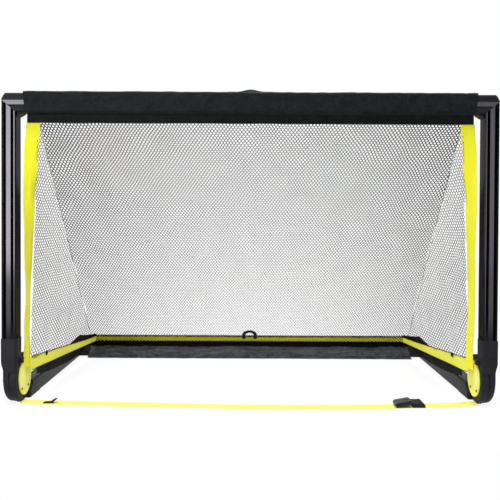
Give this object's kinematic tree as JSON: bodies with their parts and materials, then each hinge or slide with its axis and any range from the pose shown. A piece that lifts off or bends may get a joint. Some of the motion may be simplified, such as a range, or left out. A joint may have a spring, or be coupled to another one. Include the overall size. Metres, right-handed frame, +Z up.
{
  "type": "folding_soccer_goal",
  "caption": "Small folding soccer goal: rectangular front frame on a U-shaped base, hinged at both front corners, with a fine net, yellow webbing edges and a ground strap.",
  "frame": {"origin": "On the floor, midway between the two side rails and midway from the front of the knuckles to the back of the rear sleeve", "axes": "+X to the right as a player faces the mouth, +Y from the mouth to the back of the net, +Z up"},
  "size_m": [1.2072, 0.665, 0.766],
  "materials": {
    "frame_metal": "black anodised extrusion, glossy",
    "moulded_black": "fine moulded texture",
    "moulded_yellow": "smooth moulding",
    "sleeve_nylon": "woven nylon, matte",
    "rear_nylon": "woven nylon with soft creases",
    "yellow_webbing": "woven webbing",
    "black_webbing": "ribbed webbing",
    "net_cord": "fine knitted mesh",
    "steel": "zinc plated"
  },
  "bodies": {
    "base_frame": {"rear_bar": "frame_metal", "base_rail_left": "frame_metal", "base_rail_right": "frame_metal", "rear_insert_left": "moulded_black", "rear_insert_right": "moulded_black", "lower_knuckle_left": "moulded_black", "lower_knuckle_right": "moulded_black", "hem_button_left": "moulded_black", "hem_button_right": "moulded_black", "strap_buckle": "moulded_black", "strap_clip": "moulded_black", "disc_cap_left": "moulded_yellow", "disc_cap_right": "moulded_yellow", "corner_patch_left": "sleeve_nylon", "corner_patch_right": "sleeve_nylon", "rear_sleeve": "rear_nylon", "bottom_tape_left": "yellow_webbing", "bottom_tape_right": "yellow_webbing", "rear_tape": "yellow_webbing", "ground_strap": "yellow_webbing", "storage_loop": "black_webbing", "strap_tail": "black_webbing", "net_back": "net_cord", "net_side_left": "net_cord", "net_side_right": "net_cord", "hinge_bolt_left": "steel", "hinge_bolt_right": "steel", "hinge_nut_left": "steel", "hinge_nut_right": "steel", "hinge_washer_left": "steel", "hinge_washer_right": "steel", "cap_screw_left_1": "steel", "cap_screw_left_2": "steel", "cap_screw_right_1": "steel", "cap_screw_right_2": "steel"},
    "front_frame": {"crossbar": "frame_metal", "post_left": "frame_metal", "post_right": "frame_metal", "corner_insert_left": "moulded_black", "corner_insert_right": "moulded_black", "corner_gusset_left": "moulded_black", "corner_gusset_right": "moulded_black", "corner_screw_left": "steel", "corner_screw_right": "steel", "upper_knuckle_left": "moulded_black", "upper_knuckle_right": "moulded_black", "crossbar_sleeve": "sleeve_nylon", "carry_handle": "black_webbing", "front_tape_left": "yellow_webbing", "front_tape_right": "yellow_webbing", "tape_hook_left": "moulded_black", "tape_hook_right": "moulded_black", "button_spring_left": "steel", "button_spring_right": "steel"},
    "button_left": {"push_button_left": "moulded_black"},
    "button_right": {"push_button_right": "moulded_black"}
  },
  "joints": [
    {"name": "frame_fold", "type": "hinge", "parent": "base_frame", "child": "front_frame", "pos_m": [0, -0.265, 0.0595], "axis": [-1, 0, 0], "range_deg": [0, 90], "deforming": ["net_back", "net_side_left", "net_side_right", "front_tape_left", "front_tape_right"]},
    {"name": "button_left_press", "type": "slide", "parent": "front_frame", "child": "button_left", "axis": [1, 0, 0], "range_m": [0, 0.0035], "stiffness_N_per_m": 400, "springref_m": -0.003, "deforming": ["button_spring_left"]},
    {"name": "button_right_press", "type": "slide", "parent": "front_frame", "child": "button_right", "axis": [-1, 0, 0], "range_m": [0, 0.0035], "stiffness_N_per_m": 400, "springref_m": -0.003, "deforming": ["button_spring_right"]}
  ]
}
